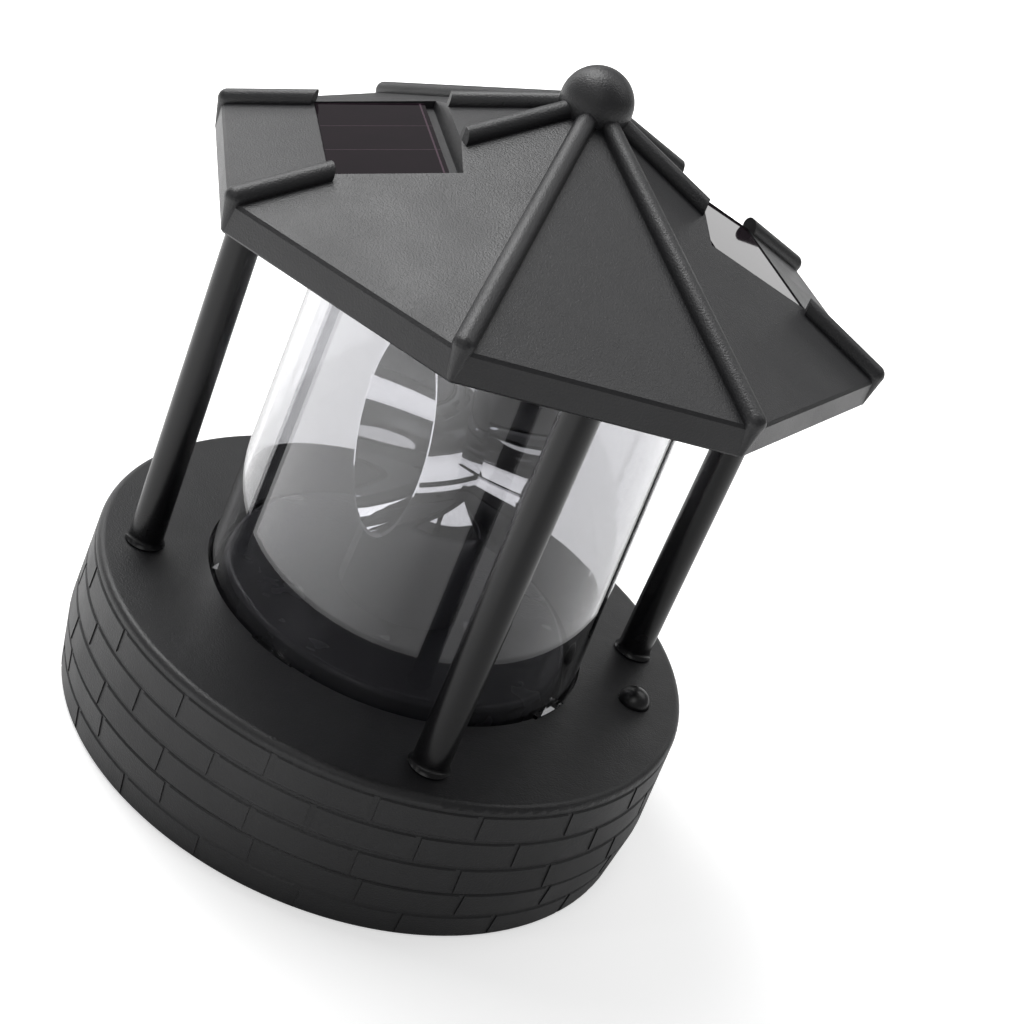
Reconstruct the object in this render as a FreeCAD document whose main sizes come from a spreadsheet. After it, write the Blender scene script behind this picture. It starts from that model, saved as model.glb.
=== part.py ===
import FreeCAD, Part
import math
import os
import Sketcher
from types import SimpleNamespace

# Lamp head of a garden lighthouse. Z points up, the origin is the middle of the base ring's
# underside, the solar panels face -X and +X, and the front column stands towards -Y.
# All lengths are in millimetres and all angles in degrees.

SIZES = {
    # drum of the base, five courses of bricks and a lip
    "course_height": 8.0,
    "ring_courses": 2,
    "shell_courses": 3,
    "lip_height": 2.6,
    "foot_radius": 81.3,
    "split_radius": 83.3,
    "shoulder_radius": 82.4,
    "lip_rounding": 2.0,
    "foot_rounding": 1.5,
    "base_wall": 2.6,
    "deck_thickness": 2.6,
    "split_shadow": 0.5,
    "mortar_width": 1.6,
    "mortar_depth": 0.4,
    "upright_depth": 0.3,
    "mortar_slope": 0.4,
    "bricks_around": 20,
    "ring_brick_turn": 2.5,
    "tongue_height": 4.0,
    "tongue_gap": 0.3,
    # opening in the deck, with the ledge that carries the clear tube
    "opening_radius": 52.9,
    "ledge_radius": 49.8,
    "ledge_thickness": 2.0,
    "ledge_rim": 3.1,
    "slot_inner_radius": 50.4,
    "slot_outer_radius": 53.5,
    "slot_angle": 15,
    "slot_middle": 45,
    "tab_angle": 13,
    "tab_height": 2.9,
    # columns
    "column_circle": 70.0,
    "column_radius": 4.6,
    "column_bore": 3.1,
    "collar_radius": 5.4,
    "collar_edge": 0.5,
    "collar_height": 2.4,
    "spigot_radius": 3.9,
    "spigot_length": 7.5,
    "socket_wall": 2.0,
    "fit_gap": 0.1,
    # roof
    "fascia_bottom": 145.0,
    "eaves_height": 152.6,
    "roof_corner_radius": 87.6,
    "fascia_corner_radius": 87.2,
    "roof_apex": 188.1,
    "roof_wall": 2.4,
    "corner_turn": 22.5,
    "rib_radius": 2.5,
    "rib_lift": 0.6,
    "bead_inset": 1.3,
    "bead_foot_radius": 0.9,
    "eaves_chamfer": 0.6,
    "ball_radius": 9.0,
    "ball_centre": 188.6,
    "ball_seat": 184.5,
    "peg_radius": 3.0,
    "peg_length": 8.0,
    # panel pockets
    "pocket_outer": 60.2,
    "pocket_inner": 31.2,
    "pocket_width": 49.4,
    "pocket_wall": 2.0,
    "panel_foot_height": 161.4,
    "panel_tilt": 16.8,
    "panel_length": 27.3,
    "panel_thickness": 1.3,
    "panel_gap": 0.3,
    # ceiling under the roof
    "ceiling_radius": 60.0,
    "ceiling_bottom": 148.0,
    "ceiling_thickness": 2.0,
    "ceiling_lip_depth": 2.5,
    "ceiling_lip_wall": 1.6,
    "ceiling_screw_circle": 56.0,
    "ceiling_screw_turn": 45,
    "seal_thickness": 0.8,
    "socket_bottom": 146.0,
    "column_top": 150.5,
    "lead_notch": 2.5,
    "lead_hole_radius": 1.0,
    "lead_hole_place": 45.0,
    # clear tube
    "tube_foot_radius": 52.2,
    "tube_top_radius": 49.6,
    "tube_wall": 2.0,
    # lamp plate, pedestal and housing
    "plate_radius": 48.25,
    "plate_top": 45.4,
    "plate_thickness": 2.4,
    "plate_rounding": 1.6,
    "plate_wall": 2.0,
    "housing_top": 36.0,
    "housing_bottom": 8.0,
    "tray_seat_height": 30.0,
    "tray_seat_width": 2.0,
    "pedestal_foot_radius": 17.4,
    "pedestal_top_radius": 16.2,
    "pedestal_top": 73.5,
    "pedestal_wall": 1.8,
    "pedestal_rounding": 1.4,
    "pedestal_roof": 2.4,
    "ear_length": 14.0,
    "ear_width": 10.0,
    "ear_thickness": 3.0,
    "ear_screw_circle": 57.5,
    # reflector
    "beam_height": 93.1,
    "reflector_heading": 6.8,
    "mouth_distance": 18.7,
    "mouth_radius": 27.8,
    "waist_radius": 17.8,
    "bowl_wall": 1.0,
    "bowl_arc_radius": 75.0,
    "seam_flange": 1.2,
    "seam_thickness": 0.8,
    "hub_radius": 15.8,
    "hub_gap": 0.3,
    "spindle_radius": 5.0,
    "spindle_bore": 3.8,
    "spindle_bottom": 35.8,
    "running_gap": 0.05,
    # drive
    "gear_module": 0.8,
    "tooth_fraction": 0.37,
    "tooth_lean": 0.32,
    "tooth_addendum": 0.85,
    "tooth_dedendum": 1.1,
    "spindle_teeth": 36,
    "idler_teeth": 30,
    "pinion_teeth": 10,
    "gear_width": 3.0,
    "gear_lift": 0.3,
    "idler_direction": 60,
    "idler_pin_radius": 1.5,
    "motor_direction": 60,
    "motor_radius": 7.6,
    "motor_length": 19.6,
    "motor_boss_radius": 3.0,
    "motor_shaft_radius": 1.0,
    "tray_thickness": 2.0,
    "post_radius": 3.0,
    "post_top": 87.5,
    "led_radius": 2.5,
    "led_flange_radius": 2.9,
    "led_flange_height": 1.0,
    "led_height": 8.6,
    # power
    "cell_radius": 7.2,
    "cell_length": 50.5,
    "cell_offset": 22.0,
    "holder_wall": 2.0,
    "holder_height": 12.0,
    "holder_slack": 0.4,
    "cell_nub_radius": 2.6,
    "cell_nub_length": 1.2,
    "contact_thickness": 0.5,
    "contact_width": 9.0,
    "contact_lift": 2.0,
    "cover_length": 61.4,
    "cover_width": 20.4,
    "cover_thickness": 1.2,
    "cover_gap": 0.3,
    "cover_screw_place": 30.8,
    "cover_boss_radius": 2.9,
    "cover_boss_roof": 1.0,
    "board_length": 30.0,
    "board_width": 26.0,
    "board_thickness": 1.6,
    "board_corner": 34.0,
    "board_side": 2.0,
    "board_lift": 4.0,
    "board_post_radius": 2.5,
    "board_screw_radius": 1.05,
    "board_head_radius": 2.2,
    "capacitor_radius": 3.0,
    "capacitor_height": 7.0,
    "capacitor_along": 6.0,
    "capacitor_across": 6.0,
    "chip_length": 9.0,
    "chip_width": 5.0,
    "chip_height": 1.8,
    "chip_along": 11.0,
    "chip_across": 9.0,
    "plug_length": 12.0,
    "plug_width": 5.5,
    "plug_height": 6.0,
    "plug_along": 12.0,
    "plug_across": 19.0,
    "coil_radius": 2.5,
    "coil_height": 4.0,
    "coil_along": 23.0,
    "coil_across": 14.0,
    # push button and switch
    "button_direction": 339,
    "button_circle": 69.0,
    "button_radius": 4.25,
    "button_height": 4.2,
    "button_dome": 3.4,
    "button_gap": 0.15,
    "button_flange": 0.9,
    "button_flange_thickness": 1.2,
    "button_play": 0.3,
    "button_travel": 1.5,
    "button_stem_radius": 1.6,
    "button_guide_depth": 7.0,
    "button_guide_wall": 1.5,
    "switch_size": 10.0,
    "switch_height": 5.0,
    "switch_stem_depth": 3.4,
    # screws
    "screw_radius": 1.5,
    "screw_head_radius": 3.0,
    "screw_head_height": 1.6,
    "screw_hole_gap": 0.05,
    "pilot_spare": 0.5,
    "boss_radius": 3.3,
    "ring_screw_circle": 75.0,
    "ring_screw_turn": 20,
    "ring_lug_radius": 4.6,
    "ring_lug_bottom": 3.0,
    "ring_lug_thickness": 3.0,
    "ring_screw_length": 14.0,
    "ear_screw_length": 6.0,
    "ceiling_screw_length": 8.0,
}

Vector = FreeCAD.Vector
Rotation = FreeCAD.Rotation
UP = Vector(0, 0, 1)

document = FreeCAD.newDocument("LighthouseLampHead")
sheet = document.addObject("Spreadsheet::Sheet", "sizes")
for row, (alias, number) in enumerate(SIZES.items(), start=1):
    sheet.set(f"A{row}", alias.replace("_", " "))
    sheet.set(f"B{row}", str(number))
    sheet.setAlias(f"B{row}", alias)
document.recompute()


class Size:
    """A length or angle that holds its number together with the sheet formula behind it."""

    def __init__(self, number, formula):
        self.number = number
        self.formula = formula

    def __add__(self, other):
        other = sized(other)
        return Size(self.number + other.number, f"({self.formula} + {other.formula})")

    def __sub__(self, other):
        other = sized(other)
        return Size(self.number - other.number, f"({self.formula} - {other.formula})")

    def __mul__(self, other):
        other = sized(other)
        return Size(self.number * other.number, f"({self.formula} * {other.formula})")

    def __truediv__(self, other):
        other = sized(other)
        return Size(self.number / other.number, f"({self.formula} / {other.formula})")

    def __neg__(self):
        return Size(-self.number, f"(0 - {self.formula})")

    def __radd__(self, other):
        return sized(other) + self

    def __rsub__(self, other):
        return sized(other) - self

    def __rmul__(self, other):
        return sized(other) * self


def sized(value):
    return value if isinstance(value, Size) else Size(value, repr(value))


def number(value):
    return sized(value).number


def cosine(angle):
    angle = sized(angle)
    return Size(math.cos(math.radians(angle.number)), f"cos({angle.formula})")


def sine(angle):
    angle = sized(angle)
    return Size(math.sin(math.radians(angle.number)), f"sin({angle.formula})")


def tangent(angle):
    angle = sized(angle)
    return Size(math.tan(math.radians(angle.number)), f"tan({angle.formula})")


def root(value):
    value = sized(value)
    return Size(math.sqrt(value.number), f"sqrt({value.formula})")


def slope_angle(rise, run):
    rise = sized(rise)
    run = sized(run)
    angle = math.degrees(math.atan2(rise.number, run.number))
    return Size(angle, f"atan({rise.formula} / {run.formula}) / 1deg")


s = SimpleNamespace(**{alias: Size(value, f"sizes.{alias}") for alias, value in SIZES.items()})


def bind(thing, path, value):
    """Ties one property of an object to its formula."""
    if isinstance(value, Size):
        thing.setExpression(path, value.formula)


def placement(x, y, z, turn, axis=UP):
    spin = Rotation(axis, number(turn))
    return FreeCAD.Placement(Vector(number(x), number(y), number(z)), spin)


def place(thing, x=0, y=0, z=0, turn=0, axis=UP):
    thing.Placement = placement(x, y, z, turn, axis)
    bind(thing, "Placement.Base.x", x)
    bind(thing, "Placement.Base.y", y)
    bind(thing, "Placement.Base.z", z)
    bind(thing, "Placement.Rotation.Angle", turn)
    return thing


def on_circle(radius, angle):
    return radius * cosine(angle), radius * sine(angle)


# ---------------------------------------------------------------- plain solids and booleans


def solid(kind, name, sizes, **where):
    thing = document.addObject(kind, name)
    for key, value in sizes.items():
        setattr(thing, key, number(value))
        bind(thing, key, value)
    return place(thing, **where)


def cylinder(name, radius, height, **where):
    return solid("Part::Cylinder", name, {"Radius": radius, "Height": height}, **where)


def cone(name, low_radius, high_radius, height, **where):
    sizes = {"Radius1": low_radius, "Radius2": high_radius, "Height": height}
    return solid("Part::Cone", name, sizes, **where)


def box(name, length, width, height, **where):
    return solid("Part::Box", name, {"Length": length, "Width": width, "Height": height}, **where)


def sphere(name, radius, **where):
    return solid("Part::Sphere", name, {"Radius": radius}, **where)


def joined(name, pieces):
    thing = document.addObject("Part::MultiFuse", name)
    thing.Shapes = pieces
    return thing


def without(name, base, tools):
    thing = document.addObject("Part::Cut", name)
    thing.Base = base
    thing.Tool = tools[0] if len(tools) == 1 else joined(name + "_tools", tools)
    return thing


def grouped(name, pieces, **where):
    thing = document.addObject("Part::Compound", name)
    thing.Links = pieces
    return place(thing, **where)


def octagon_block(name, low_radius, low_height, high_radius, high_height):
    """A block between two level octagons that both have a corner on +X."""
    rims = []
    for end, radius, height in (("low", low_radius, low_height), ("high", high_radius, high_height)):
        rim = solid("Part::RegularPolygon", f"{name}_{end}", {"Circumradius": radius}, z=height)
        rim.Polygon = 8
        rims.append(rim)
    block = document.addObject("Part::Loft", name)
    block.Sections = rims
    block.Solid = True
    block.Ruled = True
    return block


# ---------------------------------------------------------------- sketched bodies


def new_body(name, **where):
    return place(document.addObject("PartDesign::Body", name), **where)


def origin_part(body, role):
    return next(item for item in body.Origin.OriginFeatures if item.Role == role)


def arc_through(start, end, radius, side):
    """The short arc from start to end, whose centre lies to the left (side 1) or right (-1)."""
    chord = end - start
    middle = (start + end) * 0.5
    left = Vector(-chord.y, chord.x, 0).normalize()
    rise = math.sqrt(max(radius**2 - chord.Length**2 / 4, 0))
    centre = middle + left * (rise * side)
    return Part.Arc(start, centre - left * (radius * side), end)


def outline(body, name, role, corners, turn=0, lift=0):
    """A closed sketch through the corners; (across, up, radius, side) arrives by an arc."""
    sketch = body.newObject("Sketcher::SketchObject", name)
    sketch.AttachmentSupport = (origin_part(body, role), [""])
    sketch.MapMode = "FlatFace"
    spin_axis = Vector(0, 1, 0) if role == "XZ_Plane" else UP
    sketch.AttachmentOffset = placement(0, 0, lift, turn, spin_axis)
    bind(sketch, "AttachmentOffset.Rotation.Angle", turn)
    bind(sketch, "AttachmentOffset.Base.z", lift)
    points = [Vector(number(corner[0]), number(corner[1]), 0) for corner in corners]
    edges = []
    for index, corner in enumerate(corners):
        start = points[index - 1]
        if len(corner) == 2:
            edges.append(Part.LineSegment(start, points[index]))
        else:
            edges.append(arc_through(start, points[index], number(corner[2]), corner[3]))
    sketch.addGeometry(edges, False)
    # a sketch counts the ends of a clockwise arc the other way round
    ends = [(2, 1) if corner[3:] == (-1,) else (1, 2) for corner in corners]
    for index, corner in enumerate(corners):
        follower = (index + 1) % len(corners)
        sketch.addConstraint(Sketcher.Constraint("Coincident", index, ends[index][1],
                                                 follower, ends[follower][0]))
        tie_corner(sketch, index, ends[index][1], corner)
    return sketch


def tie_corner(sketch, index, end, corner):
    """Ties the end of one edge, and its radius if it is an arc, to their formulas."""
    for kind, axis, value in (("DistanceX", -2, corner[0]), ("DistanceY", -1, corner[1])):
        value = sized(value)
        if abs(value.number) < 1e-9:
            sketch.addConstraint(Sketcher.Constraint("PointOnObject", index, end, axis))
            continue
        ends = (-1, 1, index, end) if value.number > 0 else (index, end, -1, 1)
        order = sketch.addConstraint(Sketcher.Constraint(kind, *ends, abs(value.number)))
        formula = value if value.number > 0 else -value
        sketch.setExpression(f"Constraints[{order}]", formula.formula)
    if len(corner) > 2:
        radius = sized(corner[2])
        order = sketch.addConstraint(Sketcher.Constraint("Radius", index, radius.number))
        sketch.setExpression(f"Constraints[{order}]", radius.formula)


def turned(body, name, sketch, angle=360, removes=False, about="V_Axis", backwards=False):
    kind = "PartDesign::Groove" if removes else "PartDesign::Revolution"
    feature = body.newObject(kind, name)
    feature.Profile = sketch
    feature.ReferenceAxis = (sketch, [about])
    feature.Angle = number(angle)
    feature.Reversed = backwards
    bind(feature, "Angle", angle)
    return feature


def padded(body, name, sketch, length, removes=False, both_sides=False, backwards=False):
    kind = "PartDesign::Pocket" if removes else "PartDesign::Pad"
    feature = body.newObject(kind, name)
    feature.Profile = sketch
    feature.SideType = "Symmetric" if both_sides else "One side"
    feature.Length = number(length)
    feature.Reversed = backwards
    bind(feature, "Length", length)
    return feature


def body_cylinder(body, name, radius, low, high, x=0, y=0, removes=False):
    kind = "PartDesign::SubtractiveCylinder" if removes else "PartDesign::AdditiveCylinder"
    feature = body.newObject(kind, name)
    height = sized(high) - low
    feature.Radius = number(radius)
    feature.Height = height.number
    feature.AttachmentOffset = placement(x, y, low, 0)
    feature.AttachmentSupport = (origin_part(body, "XY_Plane"), [""])
    feature.MapMode = "FlatFace"
    bind(feature, "Radius", radius)
    bind(feature, "Height", height)
    bind(feature, "AttachmentOffset.Base.x", x)
    bind(feature, "AttachmentOffset.Base.y", y)
    bind(feature, "AttachmentOffset.Base.z", low)
    return feature


def around(body, name, features, count):
    """Repeats features in equal steps round the body's Z axis."""
    pattern = body.newObject("PartDesign::PolarPattern", name)
    pattern.Originals = features
    pattern.Axis = (origin_part(body, "Z_Axis"), [""])
    pattern.Angle = 360
    pattern.Occurrences = int(number(count))
    bind(pattern, "Occurrences", count)
    body.Tip = pattern
    return pattern


# ---------------------------------------------------------------- shared heights and places

ring_height = s.course_height * s.ring_courses
shoulder_height = ring_height + s.course_height * s.shell_courses
deck_height = shoulder_height + s.lip_height
deck_underside = deck_height - s.deck_thickness
ledge_bottom = deck_underside - s.ledge_thickness
ceiling_top = s.ceiling_bottom + s.ceiling_thickness
tube_top = s.ceiling_bottom - s.seal_thickness
plate_bottom = s.plate_top - s.plate_thickness
floor_top = s.housing_bottom + s.plate_wall
tray_top = s.tray_seat_height + s.tray_thickness

# slope of the facets, measured square to the eaves, and along the hips between them
eighth = Size(22.5, "22.5")
roof_rise = s.roof_apex - s.eaves_height
facet_run = s.roof_corner_radius * cosine(eighth)
facet_angle = slope_angle(roof_rise, facet_run)
hip_angle = slope_angle(roof_rise, s.roof_corner_radius)
wall_drop = s.roof_wall / cosine(facet_angle)
wall_corner = s.roof_wall / cosine(eighth)

quarter_turns = [0, 90, 180, 270]

# how far a cut runs past the face that it starts from
past = 1


def tube_radius(height):
    """Outside radius of the clear tube, which narrows evenly towards its top."""
    share = (sized(height) - deck_underside) / (tube_top - deck_underside)
    return s.tube_foot_radius - (s.tube_foot_radius - s.tube_top_radius) * share


# ---------------------------------------------------------------- screws


def screw(name, length, x, y, head_top, turn=0):
    """A pan head under head_top, with its shank pointing up."""
    head = cylinder(f"{name}_head", s.screw_head_radius, s.screw_head_height,
                    x=x, y=y, z=sized(head_top) - s.screw_head_height)
    shank = cylinder(f"{name}_shank", s.screw_radius, length, x=x, y=y, z=head_top)
    return joined(name, [head, shank])


def screw_circle(name, circle, first_angle, head_top, length):
    """Four equal screws on a circle round the Z axis."""
    screws = []
    for step, quarter in enumerate(quarter_turns):
        x, y = on_circle(circle, first_angle + quarter)
        screws.append(screw(f"{name}_{step}", length, x, y, head_top))
    return grouped(name, screws)


pilot_radius = s.screw_radius + s.screw_hole_gap
board_pilot = s.board_screw_radius + s.screw_hole_gap


# ---------------------------------------------------------------- base


def mortar_notch(wall, height):
    """Corners of a level mortar joint in an outline that climbs the wall."""
    half = s.mortar_width / 2
    half_floor = half - s.mortar_slope
    return [
        (wall(height - half), height - half),
        (wall(height) - s.mortar_depth, height - half_floor),
        (wall(height) - s.mortar_depth, height + half_floor),
        (wall(height + half), height + half),
    ]


def brick_ends(body, name, wall, low, turn):
    """Upright mortar joints of one course, cut from low to the course's top."""
    high = low + s.course_height
    proud = 2.0
    sketch = outline(body, f"{name}_outline", "XZ_Plane", [
        (wall(low) - s.upright_depth, low),
        (wall(low) + proud, low),
        (wall(high) + proud, high),
        (wall(high) - s.upright_depth, high),
    ], turn=turn)
    joint = padded(body, f"{name}_joint", sketch, s.mortar_width, removes=True, both_sides=True)
    return around(body, name, [joint], s.bricks_around)


def build_base_shell():
    def wall(height):
        share = (sized(height) - ring_height) / (shoulder_height - ring_height)
        return s.split_radius - (s.split_radius - s.shoulder_radius) * share

    body = new_body("base_shell")
    rim_radius = s.opening_radius + s.ledge_rim
    corners = [
        (wall(ring_height) - s.base_wall, ring_height),
        (wall(ring_height) - s.split_shadow, ring_height),
        (wall(ring_height + s.split_shadow), ring_height + s.split_shadow),
    ]
    for course in (1, 2, 3):
        corners += mortar_notch(wall, ring_height + s.course_height * course)
    corners += [
        (s.shoulder_radius, deck_height - s.lip_rounding),
        (s.shoulder_radius - s.lip_rounding, deck_height, s.lip_rounding, 1),
        (s.opening_radius, deck_height),
        (s.opening_radius, deck_underside),
        (s.ledge_radius, deck_underside),
        (s.ledge_radius, ledge_bottom),
        (rim_radius, ledge_bottom),
        (rim_radius, deck_underside),
        (s.shoulder_radius - s.base_wall, deck_underside),
    ]
    turned(body, "shell_form", outline(body, "shell_outline", "XZ_Plane", corners))
    half_brick = Size(180, "180") / s.bricks_around
    for course in (0, 1, 2):
        low = ring_height + s.course_height * course
        turn = half_brick if course % 2 == 0 else Size(0, "0")
        brick_ends(body, f"shell_course_{course}", wall, low, turn)

    # slots through the ledge beside the tube's foot
    slot = outline(body, "slot_outline", "XZ_Plane", [
        (s.slot_inner_radius, ledge_bottom - past),
        (s.slot_outer_radius, ledge_bottom - past),
        (s.slot_outer_radius, deck_height + past),
        (s.slot_inner_radius, deck_height + past),
    ], turn=s.slot_middle - s.slot_angle / 2)
    cut = turned(body, "slot", slot, angle=s.slot_angle, removes=True)
    around(body, "slots", [cut], 4)

    # sockets for the columns, bosses for the ring's and the housing's screws
    overlap = s.deck_thickness / 2
    boss_top = deck_underside + overlap
    socket_radius = s.spigot_radius + s.socket_wall
    socket = body_cylinder(body, "socket", socket_radius, deck_height - s.spigot_length,
                           boss_top, x=s.column_circle)
    ear_boss = body_cylinder(body, "ear_boss", s.boss_radius, s.housing_top, boss_top,
                             x=s.ear_screw_circle)
    x, y = on_circle(s.ring_screw_circle, s.ring_screw_turn)
    ring_boss_bottom = s.ring_lug_bottom + s.ring_lug_thickness
    ring_boss = body_cylinder(body, "ring_boss", s.boss_radius, ring_boss_bottom, boss_top, x=x, y=y)
    around(body, "bosses", [socket, ear_boss, ring_boss], 4)
    bore = body_cylinder(body, "socket_bore", s.spigot_radius + s.fit_gap / 2,
                         deck_height - s.spigot_length - past, deck_height + past,
                         x=s.column_circle, removes=True)
    ear_pilot = body_cylinder(body, "ear_pilot", pilot_radius, s.housing_top - past,
                              s.housing_top + s.ear_screw_length - s.ear_thickness + s.pilot_spare,
                              x=s.ear_screw_circle, removes=True)
    ring_pilot = body_cylinder(body, "ring_pilot", pilot_radius, ring_boss_bottom - past,
                               s.ring_lug_bottom + s.ring_screw_length + s.pilot_spare,
                               x=x, y=y, removes=True)
    around(body, "bores", [bore, ear_pilot, ring_pilot], 4)

    # guide for the push button
    x, y = on_circle(s.button_circle, s.button_direction)
    guide_bore = s.button_radius + s.button_flange + s.button_gap
    body_cylinder(body, "guide", guide_bore + s.button_guide_wall,
                  deck_underside - s.button_guide_depth, boss_top, x=x, y=y)
    body_cylinder(body, "guide_bore", guide_bore, deck_underside - s.button_guide_depth - past,
                  deck_underside, x=x, y=y, removes=True)
    body_cylinder(body, "button_hole", s.button_radius + s.button_gap, deck_underside - past,
                  deck_height + past, x=x, y=y, removes=True)
    return body


def build_base_ring():
    def wall(height):
        return s.foot_radius + (s.split_radius - s.foot_radius) * (sized(height) / ring_height)

    body = new_body("base_ring")
    tongue_radius = s.split_radius - s.base_wall - s.tongue_gap
    inner_radius = s.foot_radius - s.base_wall
    corners = [
        (inner_radius, 0),
        (wall(s.foot_rounding) - s.foot_rounding, 0),
        (wall(s.foot_rounding), s.foot_rounding, s.foot_rounding, 1),
    ]
    corners += mortar_notch(wall, s.course_height)
    corners += [
        (wall(ring_height - s.split_shadow), ring_height - s.split_shadow),
        (wall(ring_height) - s.split_shadow, ring_height),
        (tongue_radius, ring_height),
        (tongue_radius, ring_height + s.tongue_height),
        (inner_radius, ring_height + s.tongue_height),
    ]
    turned(body, "ring_form", outline(body, "ring_outline", "XZ_Plane", corners))
    half_brick = Size(180, "180") / s.bricks_around
    for course in (0, 1):
        turn = s.ring_brick_turn if course == 0 else s.ring_brick_turn + half_brick
        brick_ends(body, f"ring_course_{course}", wall, s.course_height * course, turn)
    x, y = on_circle(s.ring_screw_circle, s.ring_screw_turn)
    lug_top = s.ring_lug_bottom + s.ring_lug_thickness
    lug = body_cylinder(body, "lug", s.ring_lug_radius, s.ring_lug_bottom, lug_top, x=x, y=y)
    around(body, "lugs", [lug], 4)
    hole = body_cylinder(body, "lug_hole", pilot_radius, s.ring_lug_bottom - past, lug_top + past,
                         x=x, y=y, removes=True)
    around(body, "lug_holes", [hole], 4)
    return body


# ---------------------------------------------------------------- columns, tube and ceiling


def build_column(name, direction):
    x, y = on_circle(s.column_circle, direction)
    body = new_body(name, x=x, y=y)
    foot = deck_height + s.collar_height
    flare_width = s.collar_radius - s.column_radius
    flare_height = s.collar_height - s.collar_edge
    flare_radius = (flare_width * flare_width + flare_height * flare_height) / (2 * flare_width)
    corners = [
        (s.column_bore, deck_height - s.spigot_length),
        (s.spigot_radius, deck_height - s.spigot_length),
        (s.spigot_radius, deck_height),
        (s.collar_radius - s.collar_edge, deck_height),
        (s.collar_radius, deck_height + s.collar_edge, s.collar_edge, 1),
        (s.column_radius, foot, flare_radius, -1),
        (s.column_radius, s.column_top),
        (s.column_bore, s.column_top),
    ]
    turned(body, f"{name}_form", outline(body, f"{name}_outline", "XZ_Plane", corners))
    return body


def build_clear_tube():
    body = new_body("clear_tube")
    corners = [
        (tube_radius(deck_underside) - s.tube_wall, deck_underside),
        (tube_radius(deck_underside), deck_underside),
        (tube_radius(tube_top), tube_top),
        (tube_radius(tube_top) - s.tube_wall, tube_top),
    ]
    turned(body, "tube_form", outline(body, "tube_outline", "XZ_Plane", corners))
    tab_top = deck_underside + s.tab_height
    tab = outline(body, "tab_outline", "XZ_Plane", [
        (tube_radius(deck_underside) - s.tube_wall / 2, deck_underside),
        (s.slot_outer_radius - s.fit_gap, deck_underside),
        (s.slot_outer_radius - s.fit_gap, tab_top),
        (tube_radius(tab_top) - s.tube_wall / 2, tab_top),
    ], turn=s.slot_middle - s.tab_angle / 2)
    around(body, "tabs", [turned(body, "tab", tab, angle=s.tab_angle)], 4)
    return body


def build_tube_seal():
    body = new_body("tube_seal")
    outer = tube_radius(tube_top)
    corners = [
        (outer - s.tube_wall, tube_top),
        (outer, tube_top),
        (outer, s.ceiling_bottom),
        (outer - s.tube_wall, s.ceiling_bottom),
    ]
    turned(body, "seal_form", outline(body, "seal_outline", "XZ_Plane", corners))
    return body


def build_roof_ceiling():
    body = new_body("roof_ceiling")
    lip_bottom = s.ceiling_bottom - s.ceiling_lip_depth
    lip_radius = tube_radius(lip_bottom) + s.tongue_gap
    corners = [
        (0, s.ceiling_bottom),
        (lip_radius, s.ceiling_bottom),
        (lip_radius, lip_bottom),
        (lip_radius + s.ceiling_lip_wall, lip_bottom),
        (lip_radius + s.ceiling_lip_wall, s.ceiling_bottom),
        (s.ceiling_radius, s.ceiling_bottom),
        (s.ceiling_radius, ceiling_top),
        (0, ceiling_top),
    ]
    turned(body, "ceiling_form", outline(body, "ceiling_outline", "XZ_Plane", corners))
    x, y = on_circle(s.ceiling_screw_circle, s.ceiling_screw_turn)
    hole = body_cylinder(body, "ceiling_hole", pilot_radius, s.ceiling_bottom - past, ceiling_top + past,
                         x=x, y=y, removes=True)
    around(body, "ceiling_holes", [hole], 4)
    return body


# ---------------------------------------------------------------- roof


def roof_height(radius):
    """Outside height of a hip, above a point at this distance from the axis."""
    return s.roof_apex - roof_rise * (sized(radius) / s.roof_corner_radius)


def panel_height(distance):
    """Height of a panel's glass at this distance from the axis."""
    return s.panel_foot_height + (s.pocket_outer - distance) * tangent(s.panel_tilt)


def pocket_block(name, low_drop, high, grow, side):
    """An upright block over one pocket, with a floor that lies low_drop under the glass."""
    body = new_body(name, turn=90 - 90 * side)
    outer = s.pocket_outer + grow
    inner = s.pocket_inner - grow
    sketch = outline(body, f"{name}_outline", "XZ_Plane", [
        (inner, panel_height(inner) - low_drop),
        (outer, panel_height(outer) - low_drop),
        (outer, high),
        (inner, high),
    ])
    width = s.pocket_width + 2 * sized(grow)
    padded(body, f"{name}_form", sketch, width, both_sides=True)
    return body


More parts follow.
